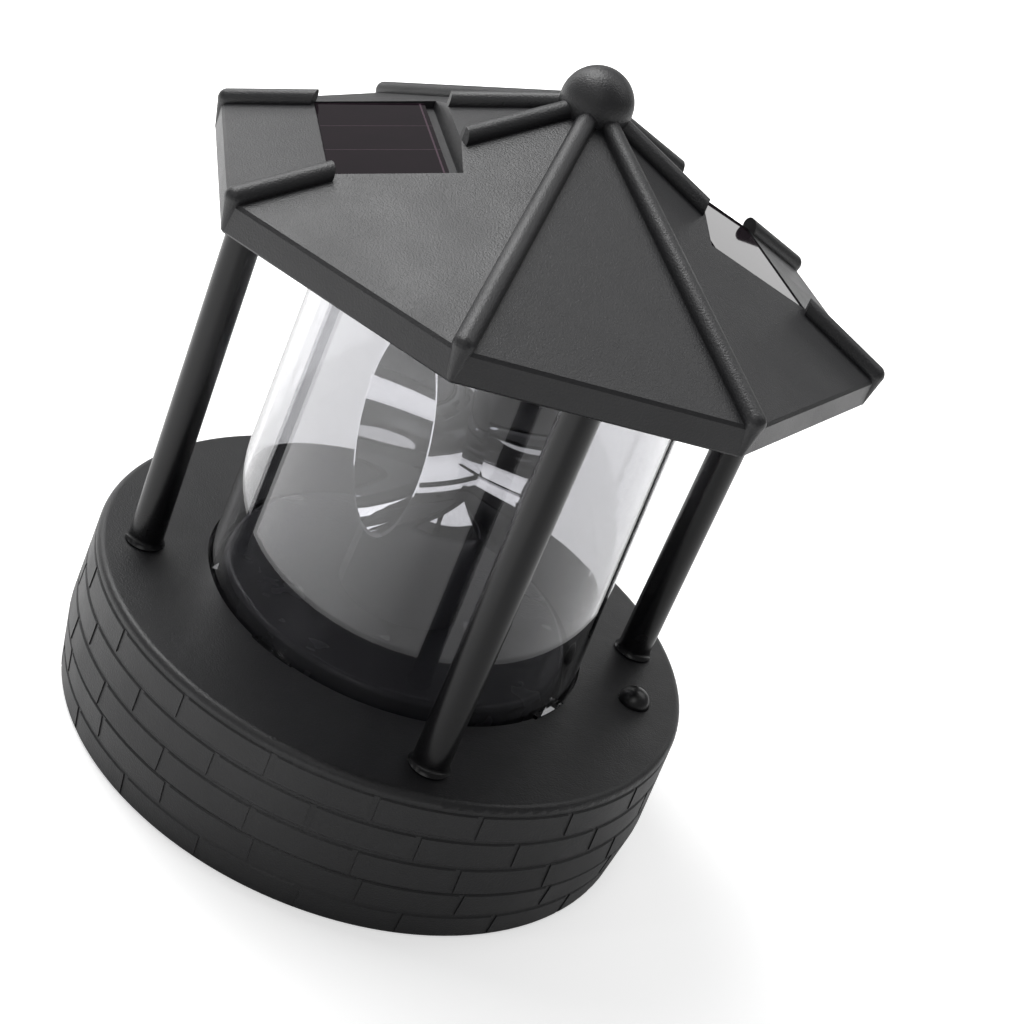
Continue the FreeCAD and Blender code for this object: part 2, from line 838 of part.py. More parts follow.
def build_roof_shell():
    top = s.ball_seat
    top_radius = (s.roof_apex - top) * s.roof_corner_radius / roof_rise
    trim = s.eaves_chamfer
    eaves_inset = s.roof_corner_radius - trim
    sill = octagon_block("sill", s.fascia_corner_radius - trim, s.fascia_bottom,
                         s.fascia_corner_radius, s.fascia_bottom + trim)
    fascia = octagon_block("fascia", s.fascia_corner_radius, s.fascia_bottom + trim,
                           s.roof_corner_radius, s.eaves_height - trim)
    arris = octagon_block("arris", s.roof_corner_radius, s.eaves_height - trim,
                          eaves_inset, roof_height(eaves_inset))
    pyramid = octagon_block("pyramid", eaves_inset, roof_height(eaves_inset), top_radius, top)
    bars = [sill, fascia, arris, pyramid]
    bead_place = s.roof_corner_radius - s.bead_inset
    knuckle_height = roof_height(bead_place) + s.rib_lift
    bead_foot = s.fascia_bottom + trim
    lean = Size(90, "90") - hip_angle
    bar_length = bead_place / cosine(hip_angle)
    panel_corners = (0, 3, 4, 7)
    gap_start = s.pocket_inner / cosine(eighth)
    gap_end = s.pocket_outer / cosine(eighth)
    for corner in range(8):
        turn = 45 * corner
        bar = cylinder(f"rib_bar_{corner}", s.rib_radius, bar_length,
                       x=bead_place, z=knuckle_height, turn=lean, axis=Vector(0, -1, 0))
        bead = cone(f"rib_bead_{corner}", s.bead_foot_radius, s.rib_radius,
                    knuckle_height - bead_foot, x=bead_place, z=bead_foot)
        knuckle = sphere(f"rib_knuckle_{corner}", s.rib_radius, x=bead_place, z=knuckle_height)
        if corner in panel_corners:
            gap = box(f"rib_gap_{corner}", gap_end - gap_start, 4 * s.rib_radius, roof_rise,
                      x=gap_start, y=-2 * s.rib_radius, z=s.eaves_height)
            bar = without(f"rib_stub_{corner}", bar, [gap])
        bars.append(grouped(f"rib_{corner}", [joined(f"rib_form_{corner}", [bar, bead, knuckle])],
                            turn=turn))
    outer = joined("roof_outside", bars)

    inner_eaves = s.eaves_height - wall_drop + s.roof_wall * roof_rise / facet_run
    inner_radius = s.roof_corner_radius - wall_corner
    inner_low = s.fascia_corner_radius - wall_corner
    cavity_top = top - 2 * wall_drop
    cavity_top_radius = (s.roof_apex - wall_drop - cavity_top) * s.roof_corner_radius / roof_rise
    skirt_room = octagon_block("skirt_room", inner_low, s.fascia_bottom - past, inner_radius, inner_eaves)
    roof_room = octagon_block("roof_room", inner_radius, inner_eaves, cavity_top_radius, cavity_top)
    room = grouped("roof_inside", [joined("inside_form", [skirt_room, roof_room])],
                   turn=s.corner_turn)
    panel_drop = s.panel_thickness / cosine(s.panel_tilt)
    pans = [pocket_block(f"pocket_pan_{side}", panel_drop + s.pocket_wall, s.roof_apex,
                         s.pocket_wall, side) for side in (-1, 1)]
    socket_radius = s.column_radius + s.fit_gap / 2 + s.socket_wall
    bosses = []
    for step, quarter in enumerate(quarter_turns):
        x, y = on_circle(s.column_circle, quarter)
        bosses.append(cylinder(f"roof_socket_{step}", socket_radius, roof_rise, x=x, y=y,
                               z=s.socket_bottom))
        x, y = on_circle(s.ceiling_screw_circle, s.ceiling_screw_turn + quarter)
        bosses.append(cylinder(f"roof_boss_{step}", s.boss_radius, roof_rise, x=x, y=y,
                               z=ceiling_top))
    bosses.append(cylinder("peg_boss", s.peg_radius + s.socket_wall, roof_rise,
                           z=top - s.peg_length - s.socket_wall))
    cavity = without("roof_cavity", room, pans + bosses)

    cuts = [cavity]
    cuts += [pocket_block(f"pocket_{side}", panel_drop, s.roof_apex + past, 0, side)
             for side in (-1, 1)]
    for step, quarter in enumerate(quarter_turns):
        x, y = on_circle(s.column_circle, quarter)
        cuts.append(cylinder(f"roof_socket_bore_{step}", s.column_radius + s.fit_gap / 2,
                             s.column_top - s.socket_bottom + past, x=x, y=y,
                             z=s.socket_bottom - past))
        x, y = on_circle(s.ceiling_screw_circle, s.ceiling_screw_turn + quarter)
        cuts.append(cylinder(f"roof_pilot_{step}", pilot_radius,
                             s.ceiling_screw_length - s.ceiling_thickness + s.pilot_spare + past,
                             x=x, y=y, z=ceiling_top - past))
    for side in (-1, 1):
        notch_turn = 90 - 90 * side
        cuts.append(grouped(f"lead_hole_{side}", [
            cylinder(f"lead_drill_{side}", s.lead_hole_radius, roof_rise,
                     x=s.lead_hole_place, z=s.column_top)], turn=notch_turn))
        bore = cylinder(f"lead_well_{side}", s.column_bore, s.lead_notch,
                        x=s.column_circle, z=s.column_top)
        slot = box(f"lead_slot_{side}", socket_radius + past, s.lead_notch, s.lead_notch,
                   x=s.column_circle - socket_radius - past, y=-s.lead_notch / 2, z=s.column_top)
        cuts.append(grouped(f"lead_notch_{side}", [joined(f"lead_notch_form_{side}", [bore, slot])],
                            turn=notch_turn))
    cuts.append(sphere("ball_room", s.ball_radius, z=s.ball_centre))
    cuts.append(cylinder("peg_hole", s.peg_radius, s.peg_length, z=top - s.peg_length))
    turned_outer = grouped("roof_outer", [outer], turn=s.corner_turn)
    return without("roof_shell", turned_outer, cuts)


def build_finial_ball():
    body = new_body("finial_ball")
    seat_drop = s.ball_centre - s.ball_seat
    seat_radius = root(s.ball_radius * s.ball_radius - seat_drop * seat_drop)
    corners = [
        (0, s.ball_seat - s.peg_length),
        (s.peg_radius, s.ball_seat - s.peg_length),
        (s.peg_radius, s.ball_seat),
        (seat_radius, s.ball_seat),
        (s.ball_radius, s.ball_centre, s.ball_radius, 1),
        (0, s.ball_centre + s.ball_radius, s.ball_radius, 1),
    ]
    turned(body, "ball_form", outline(body, "ball_outline", "XZ_Plane", corners))
    return body


def build_solar_panel(name, turn):
    """A glass plate with its lower edge flush in the facet, laid back at the panel tilt."""
    plate = box(f"{name}_plate", s.panel_length, s.pocket_width - 2 * s.panel_gap,
                s.panel_thickness,
                x=-s.pocket_outer + s.panel_gap + s.panel_thickness * sine(s.panel_tilt),
                y=-s.pocket_width / 2 + s.panel_gap,
                z=panel_height(s.pocket_outer - s.panel_gap) - s.panel_thickness * cosine(s.panel_tilt),
                turn=s.panel_tilt, axis=Vector(0, -1, 0))
    return grouped(name, [plate], turn=turn)


# ---------------------------------------------------------------- lamp plate, housing, pedestal


def build_lamp_plate():
    body = new_body("lamp_plate")
    bore = s.spindle_radius + s.running_gap
    corners = [
        (bore, plate_bottom),
        (s.plate_radius - s.plate_wall, plate_bottom),
        (s.plate_radius - s.plate_wall, s.housing_top),
        (s.plate_radius, s.housing_top),
        (s.plate_radius, s.plate_top - s.plate_rounding),
        (s.plate_radius - s.plate_rounding, s.plate_top, s.plate_rounding, 1),
        (bore, s.plate_top),
    ]
    turned(body, "plate_form", outline(body, "plate_outline", "XZ_Plane", corners))
    return body


def build_pedestal():
    """The stand that turns with the reflector, hollowed on top to take the two bowls."""
    body = new_body("pedestal")
    roof_bottom = s.pedestal_top - s.pedestal_roof
    foot = s.plate_top + s.hub_gap
    corners = [
        (s.pedestal_foot_radius - s.pedestal_wall, foot),
        (s.pedestal_foot_radius, foot),
        (s.pedestal_top_radius, s.pedestal_top - s.pedestal_rounding),
        (s.pedestal_top_radius - s.pedestal_rounding, s.pedestal_top, s.pedestal_rounding, 1),
        (s.spindle_radius + s.running_gap, s.pedestal_top),
        (s.spindle_radius + s.running_gap, roof_bottom),
        (s.pedestal_top_radius - s.pedestal_wall, roof_bottom),
    ]
    turned(body, "pedestal_form", outline(body, "pedestal_outline", "XZ_Plane", corners))
    bowls = outline(body, "pedestal_bowls_outline", "XY_Plane", bowl_corners(-s.fit_gap),
                    turn=s.reflector_heading, lift=s.beam_height)
    turned(body, "pedestal_bowls", bowls, about="H_Axis", removes=True)
    return body


cell_low = floor_top + s.cover_gap


def build_lamp_housing():
    body = new_body("lamp_housing")
    inner = s.plate_radius - s.plate_wall
    seat_bottom = s.tray_seat_height - s.tray_seat_width
    corners = [
        (0, s.housing_bottom),
        (s.plate_radius, s.housing_bottom),
        (s.plate_radius, s.housing_top),
        (inner, s.housing_top),
        (inner, s.tray_seat_height),
        (inner - s.tray_seat_width, s.tray_seat_height),
        (inner - s.tray_seat_width, seat_bottom),
        (inner, seat_bottom),
        (inner, floor_top),
        (0, floor_top),
    ]
    turned(body, "housing_form", outline(body, "housing_outline", "XZ_Plane", corners))
    ear_end = inner + s.ear_length
    half_ear = s.ear_width / 2
    ear_outline = outline(body, "ear_outline", "XY_Plane", [
        (s.plate_radius - s.plate_wall / 2, -half_ear),
        (ear_end, -half_ear),
        (ear_end, half_ear),
        (s.plate_radius - s.plate_wall / 2, half_ear),
    ], lift=s.housing_top - s.ear_thickness)
    ear = padded(body, "ear", ear_outline, s.ear_thickness)
    around(body, "ears", [ear], 4)
    hole = body_cylinder(body, "ear_hole", pilot_radius, s.housing_top - s.ear_thickness - past,
                         s.housing_top + past, x=s.ear_screw_circle, removes=True)
    around(body, "ear_holes", [hole], 4)

    # well for the cell, closed by the cover from below
    wall = s.holder_wall
    half_length = s.cell_length / 2 + s.contact_thickness + s.holder_slack
    half_width = s.cell_radius + s.holder_slack
    middle = -s.cell_offset
    frame = outline(body, "well_outline", "XY_Plane",
                    rectangle(-half_length - wall, half_length + wall,
                              middle - half_width - wall, middle + half_width + wall),
                    lift=floor_top - s.plate_wall / 2)
    padded(body, "well", frame, s.holder_height)
    x = s.cover_screw_place
    body_cylinder(body, "cover_boss", s.cover_boss_radius, floor_top - s.plate_wall / 2,
                  floor_top + s.holder_height / 2, x=x, y=middle)
    opening = outline(body, "well_opening_outline", "XY_Plane",
                      rectangle(-half_length, half_length, middle - half_width, middle + half_width),
                      lift=s.housing_bottom - past)
    padded(body, "well_opening", opening, s.holder_height + s.plate_wall + past, removes=True,
           backwards=True)
    start = x + s.screw_head_radius - s.cover_length
    rebate = outline(body, "rebate_outline", "XY_Plane",
                     rectangle(start - s.cover_gap, start + s.cover_length + s.cover_gap,
                               middle - s.cover_width / 2 - s.cover_gap,
                               middle + s.cover_width / 2 + s.cover_gap),
                     lift=s.housing_bottom - past)
    padded(body, "rebate", rebate, s.cover_thickness + past, removes=True, backwards=True)
    body_cylinder(body, "cover_pilot", pilot_radius, s.housing_bottom,
                  floor_top + s.holder_height / 2 - s.cover_boss_roof, x=x, y=middle, removes=True)

    # posts for the circuit board
    for step, (x, y) in enumerate(board_holes()):
        body_cylinder(body, f"board_post_{step}", s.board_post_radius, floor_top - s.plate_wall / 2,
                      floor_top + s.board_lift, x=x, y=y)
        body_cylinder(body, f"board_pilot_{step}", board_pilot, floor_top,
                      floor_top + s.board_lift + past, x=x, y=y, removes=True)
    return body


def rectangle(left, right, near, far):
    return [(left, near), (right, near), (right, far), (left, far)]


def board_holes():
    """Two mounting holes in opposite corners of the circuit board."""
    inset = s.boss_radius
    near = (-s.board_corner + s.board_length - inset, s.board_side + inset)
    far = (-s.board_corner + inset, s.board_side + s.board_width - inset)
    return near, far


def build_battery_cover():
    body = new_body("battery_cover")
    start = s.cover_screw_place + s.screw_head_radius - s.cover_length
    plate = outline(body, "cover_outline", "XY_Plane",
                    rectangle(start, start + s.cover_length, -s.cell_offset - s.cover_width / 2,
                              -s.cell_offset + s.cover_width / 2), lift=s.housing_bottom)
    padded(body, "cover_form", plate, s.cover_thickness)
    half_length = s.cell_length / 2 + s.contact_thickness
    half_width = s.cell_radius
    rib = outline(body, "cover_step_outline", "XY_Plane",
                  rectangle(-half_length, half_length, -s.cell_offset - half_width,
                            -s.cell_offset + half_width),
                  lift=s.housing_bottom + s.cover_thickness / 2)
    padded(body, "cover_step", rib, floor_top - s.housing_bottom - s.cover_thickness / 2)
    body_cylinder(body, "cover_hole", pilot_radius, s.housing_bottom - past,
                  s.housing_bottom + s.cover_thickness + past, x=s.cover_screw_place,
                  y=-s.cell_offset, removes=True)
    return body


# ---------------------------------------------------------------- reflector and its spindle


def bowl_corners(less):
    """Outline of both bowls above their common axis, set in from the outside by less."""
    waist = s.waist_radius - less
    mouth = s.mouth_radius - less
    return [
        (s.mouth_distance, 0),
        (s.mouth_distance, mouth),
        (0, waist, s.bowl_arc_radius, 1),
        (-s.mouth_distance, mouth, s.bowl_arc_radius, 1),
        (-s.mouth_distance, 0),
    ]


def seam_corners():
    """Outline of the flat seam rim round both bowls, seen from above."""
    waist = s.waist_radius + s.seam_flange
    mouth = s.mouth_radius + s.seam_flange
    reach = s.mouth_distance
    return [
        (reach, -mouth, s.bowl_arc_radius, 1),
        (reach, mouth),
        (0, waist, s.bowl_arc_radius, 1),
        (-reach, mouth, s.bowl_arc_radius, 1),
        (-reach, -mouth),
        (0, -waist, s.bowl_arc_radius, 1),
    ]


def build_reflector_half(name, upper):
    """Half of the double reflector, parted level through the axis of the beams."""
    body = new_body(name, z=s.beam_height, turn=s.reflector_heading)
    if not upper:
        hub_low = s.pedestal_top - s.beam_height
        body_cylinder(body, "hub", s.hub_radius, hub_low, -s.bowl_wall)
    form = outline(body, f"{name}_outline", "XY_Plane", bowl_corners(0))
    turned(body, f"{name}_form", form, angle=180, about="H_Axis", backwards=not upper)
    rim = outline(body, f"{name}_seam_outline", "XY_Plane", seam_corners())
    padded(body, f"{name}_seam", rim, s.seam_thickness, backwards=not upper)
    room = outline(body, f"{name}_room_outline", "XY_Plane", bowl_corners(s.bowl_wall))
    turned(body, f"{name}_room", room, angle=360, about="H_Axis", removes=True)
    if not upper:
        body_cylinder(body, "hub_bore", s.spindle_radius + s.running_gap, -s.mouth_radius, 0,
                      removes=True)
    return body


spindle_top = s.beam_height - s.waist_radius + s.bowl_wall


def build_reflector_spindle():
    body = new_body("reflector_spindle")
    corners = [
        (s.spindle_bore, s.spindle_bottom),
        (s.spindle_radius, s.spindle_bottom),
        (s.spindle_radius, spindle_top),
        (s.spindle_bore, spindle_top),
    ]
    turned(body, "spindle_form", outline(body, "spindle_outline", "XZ_Plane", corners))
    return body


# ---------------------------------------------------------------- gears and motor


def pitch_radius(teeth):
    return s.gear_module * teeth / 2


def toothed_wheel(body, name, teeth, low, high, turn):
    """A spur wheel with straight-sided teeth, the middle of one tooth at the given turn."""
    pitch = pitch_radius(teeth)
    tip = pitch + s.gear_module * s.tooth_addendum
    foot = pitch - s.gear_module * s.tooth_dedendum
    half_pitch = s.gear_module * math.pi * s.tooth_fraction / 2
    half_tip = half_pitch - s.gear_module * s.tooth_addendum * s.tooth_lean
    half_foot = half_pitch + s.gear_module * s.tooth_dedendum * s.tooth_lean
    body_cylinder(body, f"{name}_wheel", foot, low, high)
    sketch = outline(body, f"{name}_tooth_outline", "XY_Plane", [
        (foot - s.gear_module / 2, -half_foot),
        (foot, -half_foot),
        (tip, -half_tip),
        (tip, half_tip),
        (foot, half_foot),
        (foot - s.gear_module / 2, half_foot),
    ], turn=turn, lift=low)
    tooth = padded(body, f"{name}_tooth", sketch, high - low)
    return around(body, f"{name}_teeth", [tooth], teeth)


idler_distance = pitch_radius(s.spindle_teeth) + pitch_radius(s.pinion_teeth)
motor_distance = pitch_radius(s.idler_teeth) + pitch_radius(s.pinion_teeth)
idler_x, idler_y = on_circle(idler_distance, s.idler_direction)
motor_x = idler_x + motor_distance * cosine(s.motor_direction)
motor_y = idler_y + motor_distance * sine(s.motor_direction)
wheel_low = tray_top + s.gear_lift
wheel_high = wheel_low + s.gear_width
upper_low = s.spindle_bottom
upper_high = upper_low + s.gear_width + s.gear_lift


def build_spindle_gear():
    """The wheel on the spindle, with a tooth space towards the idler."""
    body = new_body("spindle_gear")
    half_step = Size(180, "180") / s.spindle_teeth
    toothed_wheel(body, "spindle_gear", s.spindle_teeth, upper_low, upper_high,
                  s.idler_direction + half_step)
    body_cylinder(body, "spindle_gear_bore", s.spindle_radius + s.running_gap, upper_low - past,
                  upper_high + past, removes=True)
    return body


def build_idler_gear():
    """The double wheel: its small teeth drive the spindle, its large ones meet the pinion."""
    body = new_body("idler_gear", x=idler_x, y=idler_y)
    half_step = Size(180, "180") / s.idler_teeth
    toothed_wheel(body, "idler_large", s.idler_teeth, wheel_low, wheel_high,
                  s.motor_direction + half_step)
    toothed_wheel(body, "idler_small", s.pinion_teeth, wheel_high - s.gear_lift, upper_high,
                  s.idler_direction + 180)
    body_cylinder(body, "idler_bore", s.idler_pin_radius + s.running_gap, wheel_low - past,
                  upper_high + past, removes=True)
    return body


def build_motor_pinion():
    """The pinion with the motor's shaft, which turns in the motor's boss."""
    body = new_body("motor_pinion", x=motor_x, y=motor_y)
    toothed_wheel(body, "pinion", s.pinion_teeth, wheel_low, wheel_high, s.motor_direction + 180)
    shaft_low = s.tray_seat_height - s.motor_length / 2
    body_cylinder(body, "motor_shaft", s.motor_shaft_radius, shaft_low, wheel_high + s.gear_lift)
    return body


def build_idler_pin():
    return cylinder("idler_pin", s.idler_pin_radius, upper_high + s.gear_lift - s.tray_seat_height,
                    x=idler_x, y=idler_y, z=s.tray_seat_height)


def build_motor():
    can = cylinder("motor_can", s.motor_radius, s.motor_length, x=motor_x, y=motor_y,
                   z=s.tray_seat_height - s.motor_length)
    boss = cylinder("motor_boss", s.motor_boss_radius, s.tray_thickness, x=motor_x, y=motor_y,
                    z=s.tray_seat_height)
    bore = cylinder("motor_bore", s.motor_shaft_radius + s.running_gap,
                    s.motor_length / 2 + s.gear_lift + s.tray_thickness + past, x=motor_x, y=motor_y,
                    z=s.tray_seat_height - s.motor_length / 2 - s.gear_lift)
    return without("motor", joined("motor_body", [can, boss]), [bore])


def build_gear_tray():
    body = new_body("gear_tray")
    radius = s.plate_radius - s.plate_wall - s.tongue_gap
    bore = s.post_radius + s.running_gap
    corners = [
        (bore, s.tray_seat_height),
        (radius, s.tray_seat_height),
        (radius, tray_top),
        (bore, tray_top),
    ]
    turned(body, "tray_form", outline(body, "tray_outline", "XZ_Plane", corners))
    body_cylinder(body, "pin_hole", s.idler_pin_radius + s.running_gap, s.tray_seat_height - past,
                  tray_top + past, x=idler_x, y=idler_y, removes=True)
    body_cylinder(body, "motor_hole", s.motor_boss_radius + s.running_gap, s.tray_seat_height - past,
                  tray_top + past, x=motor_x, y=motor_y, removes=True)
    return body


# ---------------------------------------------------------------- light, cell, board, switch


def build_led_post():
    body = new_body("led_post")
    bore = s.post_radius / 2
    corners = [
        (bore, s.tray_seat_height),
        (s.post_radius, s.tray_seat_height),
        (s.post_radius, s.post_top),
        (bore, s.post_top),
    ]
    turned(body, "post_form", outline(body, "post_outline", "XZ_Plane", corners))
    return body


def build_led():
    """A round lamp with a flange and a domed top."""
    body = new_body("led")
    shoulder = s.post_top + s.led_height - s.led_radius
    corners = [
        (0, s.post_top),
        (s.led_flange_radius, s.post_top),
        (s.led_flange_radius, s.post_top + s.led_flange_height),
        (s.led_radius, s.post_top + s.led_flange_height),
        (s.led_radius, shoulder),
        (0, shoulder + s.led_radius, s.led_radius, 1),
    ]
    turned(body, "led_form", outline(body, "led_outline", "XZ_Plane", corners))
    return body


def build_battery():
    body = new_body("battery", x=-s.cell_length / 2, y=-s.cell_offset, z=cell_low + s.cell_radius,
                    turn=90, axis=Vector(0, 1, 0))
    shoulder = s.cell_length - s.cell_nub_length
    corners = [
        (0, 0),
        (s.cell_radius, 0),
        (s.cell_radius, shoulder),
        (s.cell_nub_radius, shoulder),
        (s.cell_nub_radius, s.cell_length),
        (0, s.cell_length),
    ]
    turned(body, "cell_form", outline(body, "cell_outline", "XZ_Plane", corners))
    return body


def build_battery_contacts():
    plates = []
    for side in (-1, 1):
        edge = s.cell_length / 2 if side == 1 else -s.cell_length / 2 - s.contact_thickness
        plates.append(box(f"contact_{side}", s.contact_thickness, s.contact_width, s.contact_width,
                          x=edge, y=-s.cell_offset - s.contact_width / 2, z=floor_top + s.contact_lift))
    return grouped("battery_contacts", plates)


board_bottom = floor_top + s.board_lift
board_top = board_bottom + s.board_thickness


def build_circuit_board():
    body = new_body("circuit_board")
    plate = outline(body, "board_outline", "XY_Plane",
                    rectangle(-s.board_corner, -s.board_corner + s.board_length, s.board_side,
                              s.board_side + s.board_width), lift=board_bottom)
    padded(body, "board_form", plate, s.board_thickness)
    for step, (x, y) in enumerate(board_holes()):
        body_cylinder(body, f"board_hole_{step}", board_pilot, board_bottom - past,
                      board_top + past, x=x, y=y, removes=True)
    return body


def build_board_parts():
    """A chip, a plug, a capacitor and a coil, each placed from the corner of the board."""
    def on_board(along, across):
        return {"x": along - s.board_corner, "y": across + s.board_side, "z": board_top}

    chip = box("chip", s.chip_length, s.chip_width, s.chip_height,
               **on_board(s.chip_along, s.chip_across))
    plug = box("plug", s.plug_length, s.plug_width, s.plug_height,
               **on_board(s.plug_along, s.plug_across))
    can = cylinder("capacitor", s.capacitor_radius, s.capacitor_height,
                   **on_board(s.capacitor_along, s.capacitor_across))
    coil = cylinder("coil", s.coil_radius, s.coil_height,
                    **on_board(s.coil_along, s.coil_across))
    return grouped("board_parts", [chip, plug, can, coil])


def build_board_screws():
    screws = []
    for step, (x, y) in enumerate(board_holes()):
        head = cylinder(f"board_screw_head_{step}", s.board_head_radius, s.screw_head_height,
                        x=x, y=y, z=board_top)
        shank = cylinder(f"board_screw_shank_{step}", s.board_screw_radius,
                         s.board_thickness + s.board_lift - s.pilot_spare, x=x, y=y,
                         z=floor_top + s.pilot_spare)
        screws.append(joined(f"board_screw_{step}", [head, shank]))
    return grouped("board_screws", screws)


def build_button_cap():
    """A domed cap that a flange keeps under the deck, with a stem into the switch."""
    x, y = on_circle(s.button_circle, s.button_direction)
    body = new_body("button_cap", x=x, y=y)
    flange_top = deck_underside - s.button_play
    flange_bottom = flange_top - s.button_flange_thickness
    guide_bottom = deck_underside - s.button_guide_depth
    stem_bottom = guide_bottom - s.switch_stem_depth + s.button_travel + s.fit_gap
    dome_foot = deck_height + s.button_height - s.button_dome
    dome_radius = (s.button_radius * s.button_radius + s.button_dome * s.button_dome) / (
        2 * s.button_dome)
    corners = [
        (0, stem_bottom),
        (s.button_stem_radius, stem_bottom),
        (s.button_stem_radius, flange_bottom),
        (s.button_radius + s.button_flange, flange_bottom),
        (s.button_radius + s.button_flange, flange_top),
        (s.button_radius, flange_top),
        (s.button_radius, dome_foot),
        (0, dome_foot + s.button_dome, dome_radius, 1),
    ]
    turned(body, "button_form", outline(body, "button_outline", "XZ_Plane", corners))
    return body


def build_switch_body():
    x, y = on_circle(s.button_circle, s.button_direction)
    top = deck_underside - s.button_guide_depth
    case = box("switch_case", s.switch_size, s.switch_size, s.switch_height,
               x=x - s.switch_size / 2, y=y - s.switch_size / 2, z=top - s.switch_height)
    well = cylinder("switch_well", s.button_stem_radius + s.running_gap, s.switch_stem_depth + past,
                    x=x, y=y, z=top - s.switch_stem_depth)
    return without("switch_body", case, [well])


def build_cover_screw():
    head_top = s.housing_bottom
    return grouped("cover_screw", [screw("cover_screw_form", s.holder_height / 2,
                                         s.cover_screw_place, -s.cell_offset, head_top)])


# ---------------------------------------------------------------- the whole lamp head

nodes = [
    build_base_ring(),
    build_base_shell(),
    screw_circle("ring_screws", s.ring_screw_circle, s.ring_screw_turn, s.ring_lug_bottom,
                 s.ring_screw_length),
    build_column("column_right", 0),
    build_column("column_back", 90),
    build_column("column_left", 180),
    build_column("column_front", 270),
    build_clear_tube(),
    build_tube_seal(),
    build_roof_ceiling(),
    screw_circle("ceiling_screws", s.ceiling_screw_circle, s.ceiling_screw_turn,
                 s.ceiling_bottom,
                 s.ceiling_screw_length),
    build_roof_shell(),
    build_finial_ball(),
    build_solar_panel("solar_panel_left", 0),
    build_solar_panel("solar_panel_right", 180),
    build_lamp_plate(),
    build_lamp_housing(),
    screw_circle("housing_screws", s.ear_screw_circle, 0, s.housing_top - s.ear_thickness,
                 s.ear_screw_length),
    build_pedestal(),
    build_reflector_half("reflector_upper", True),
    build_reflector_half("reflector_lower", False),
    build_reflector_spindle(),
    build_spindle_gear(),
    build_idler_gear(),
    build_idler_pin(),
    build_motor_pinion(),
    build_motor(),
    build_gear_tray(),
    build_led_post(),
    build_led(),
    build_battery(),
    build_battery_contacts(),
    build_battery_cover(),
    build_cover_screw(),
    build_circuit_board(),
    build_board_parts(),
    build_board_screws(),
    build_button_cap(),
    build_switch_body(),
]

document.recompute()

for thing in document.Objects:
    if "Invalid" in thing.State or "Error" in thing.State:
        raise RuntimeError(f"{thing.Name} did not build: {thing.State}")
for node in nodes:
    if node.Shape.isNull() or not node.Shape.isValid():
        raise RuntimeError(f"{node.Name} has no valid shape")

os.makedirs("parts", exist_ok=True)
for node in nodes:
    node.Label = node.Name
    node.Shape.exportStep(f"parts/{node.Label}.step")
    print(f"{node.Label}: {len(node.Shape.Solids)} solids, {node.Shape.Volume / 1000:.2f} cm3")
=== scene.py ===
# %% [markdown]
# # A solar lamp head for a garden lighthouse
# The lamp head arrives as a finished CAD model, in metres, with every moulding as a piece of its
# own. Its shapes are right as they come, so these cells add what a CAD model lacks: a camera, a
# finish for each piece, a sheet of paper to stand on, a room and the lamps.

# %% Load the CAD model
import math

import bpy
from mathutils import Matrix, Vector

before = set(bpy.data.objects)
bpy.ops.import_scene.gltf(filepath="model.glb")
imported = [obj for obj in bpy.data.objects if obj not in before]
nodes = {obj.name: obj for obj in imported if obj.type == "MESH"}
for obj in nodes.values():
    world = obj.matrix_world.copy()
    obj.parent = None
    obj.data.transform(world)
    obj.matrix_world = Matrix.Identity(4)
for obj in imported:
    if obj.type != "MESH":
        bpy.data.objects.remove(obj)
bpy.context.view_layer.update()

# %% [markdown]
# ## Camera
# The picture was taken with a fairly long lens, from a little above and to the left, and the lamp
# head leans in it. The object could be tipped instead, but its pieces stay where the CAD model has
# them. So the camera is rolled about its own line of sight, which gives the same lean while the
# lamp head stays upright. Its place and lens were worked out from the corners of the roof and the
# rim of the deck: the lens is the one whose picture of those points fits best.

# %% Camera
LOOK_AT = Vector((0.0, 0.0, 0.075))
AZIMUTH = math.radians(-15.674)
ELEVATION = math.radians(24.225)
ROLL = math.radians(20.977)
DISTANCE = 0.47921
ASIDE = -0.008273
ABOVE = 0.029352
FOCAL_PIXELS = 1822.8
PICTURE = 1024
CENTRE_PIXEL = (405.5, 387.0)
SENSOR_WIDTH = 36

back = Vector((math.sin(AZIMUTH) * math.cos(ELEVATION),
               -math.cos(AZIMUTH) * math.cos(ELEVATION),
               math.sin(ELEVATION)))
level = Vector((math.cos(AZIMUTH), math.sin(AZIMUTH), 0.0))
upward = back.cross(level)
right = math.cos(ROLL) * level + math.sin(ROLL) * upward
top = math.cos(ROLL) * upward - math.sin(ROLL) * level

lens_data = bpy.data.cameras.new("camera")
lens_data.sensor_width = SENSOR_WIDTH
lens_data.lens = SENSOR_WIDTH * FOCAL_PIXELS / PICTURE
lens_data.shift_x = (PICTURE / 2 - CENTRE_PIXEL[0]) / PICTURE
lens_data.shift_y = (CENTRE_PIXEL[1] - PICTURE / 2) / PICTURE
camera = bpy.data.objects.new("camera", lens_data)
camera.matrix_world = Matrix((right, top, back)).transposed().to_4x4()
camera.location = LOOK_AT + back * DISTANCE + right * ASIDE + top * ABOVE
bpy.context.scene.collection.objects.link(camera)
bpy.context.scene.camera = camera
print("camera at", [round(v, 3) for v in camera.location], "lens", round(lens_data.lens, 1))

# %% [markdown]
# ## Helpers for materials
# A colour is written as the sRGB hex value that a paint chart gives, and one function turns it
# into the linear numbers that Blender works with. Another adds a node with its settings and links,
# so that a finish reads as a list of nodes. Numbers that are the same all over a surface are set
# on the shader itself, because an exported model keeps them only there.

# %% Colours and nodes


